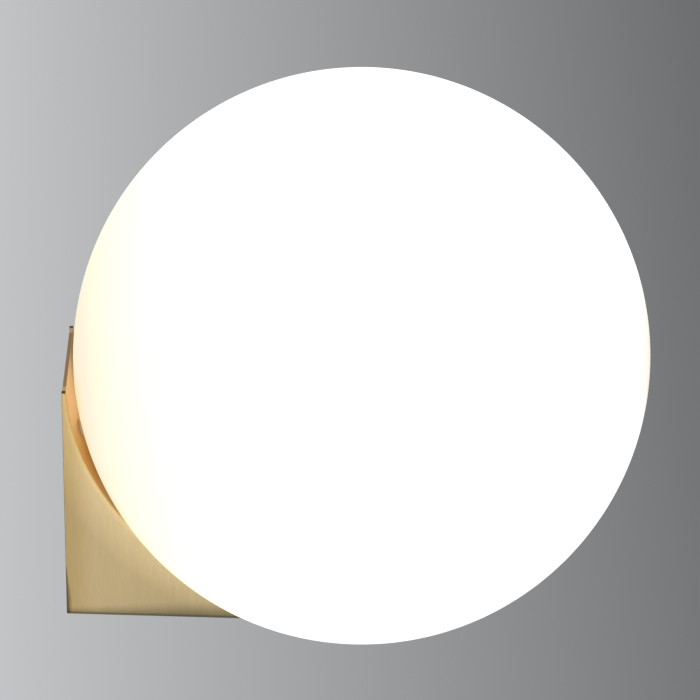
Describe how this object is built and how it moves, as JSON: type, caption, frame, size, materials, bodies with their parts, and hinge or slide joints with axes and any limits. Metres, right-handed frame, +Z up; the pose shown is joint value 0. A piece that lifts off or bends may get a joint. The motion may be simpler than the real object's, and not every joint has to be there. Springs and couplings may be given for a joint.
{
  "type": "globe wall sconce",
  "caption": "Wall light: an opal glass globe nested in a brushed brass corner cradle with a quarter-circle seat, on a cleat-hung wall plate.",
  "frame": {"origin": "middle of the two wall screws, on the plane of the wall", "axes": "+Y into the wall, +Z up, the globe stands out towards -Y"},
  "size_m": [0.2499, 0.254, 0.2537],
  "materials": {
    "brushed_brass": "satin, brushed upright, clear lacquered",
    "turned_brass": "turned, bright",
    "zinc_steel": "bright zinc plated",
    "opal_glass": "gloss outside, opal white, lit from inside",
    "clear_silicone": "translucent silicone",
    "black_rubber": "matt",
    "white_ceramic": "glazed steatite",
    "nickel_spring": "nickel plated spring metal",
    "tinned_copper": "tinned",
    "white_nylon": "moulded, fine grained",
    "frosted_cover": "frosted, translucent",
    "light_strip": "yellow phosphor over a white ceramic strip",
    "brown_sleeve": "silicone sleeve",
    "blue_sleeve": "silicone sleeve",
    "green_yellow_sleeve": "silicone sleeve, green with yellow stripes"
  },
  "bodies": {
    "wall_plate": {"wall_plate": "zinc_steel", "cable_grommet": "black_rubber", "earth_clamp": "zinc_steel", "earth_screw": "turned_brass"},
    "cradle": {"cradle_shell": "brushed_brass", "seat_plate": "brushed_brass", "cleat_bar": "brushed_brass", "seat_buffers": "clear_silicone", "carrier_bracket": "zinc_steel", "fitter_cup": "turned_brass", "stem_tube": "zinc_steel", "stem_nuts": "zinc_steel", "lock_washer": "zinc_steel", "earth_tag": "tinned_copper", "holder_bracket": "zinc_steel", "holder_body": "white_ceramic", "holder_contacts": "nickel_spring", "holder_screws": "zinc_steel", "terminal_block": "white_nylon", "terminal_clamps": "turned_brass", "terminal_screws": "zinc_steel", "terminal_stud": "zinc_steel", "terminal_nut": "zinc_steel", "brown_lead": "brown_sleeve", "blue_lead": "blue_sleeve", "earth_lead": "green_yellow_sleeve", "lock_nut": "turned_brass"},
    "lock_screw": {"lock_screw": "turned_brass"},
    "neck_gasket": {"neck_gasket": "clear_silicone"},
    "globe": {"globe_glass": "opal_glass", "neck_collar": "turned_brass"},
    "bulb": {"bulb_envelope": "frosted_cover", "bulb_base": "white_nylon", "bulb_pins": "nickel_spring", "light_core": "light_strip"}
  },
  "joints": [
    {"name": "cradle_lift_off", "type": "slide", "parent": "wall_plate", "child": "cradle", "axis": [0, -0.7071, 0.7071], "range_m": [0, 0.03]},
    {"name": "lock_screw_turn", "type": "hinge", "parent": "cradle", "child": "lock_screw", "pos_m": [0.0222, -0.006, -0.01351], "axis": [1, 0, 0], "range_deg": [0, 720]},
    {"name": "globe_lift_off", "type": "slide", "parent": "cradle", "child": "neck_gasket", "axis": [0, -0.7071, 0.7071], "range_m": [0, 0.13]},
    {"name": "globe_turn", "type": "hinge", "parent": "neck_gasket", "child": "globe", "pos_m": [0, -0.03354, -0.00972], "axis": [0, -0.7071, 0.7071], "range_deg": [0, 450]},
    {"name": "bulb_pull", "type": "slide", "parent": "cradle", "child": "bulb", "axis": [0, -0.7071, 0.7071], "range_m": [0, 0.016]}
  ]
}
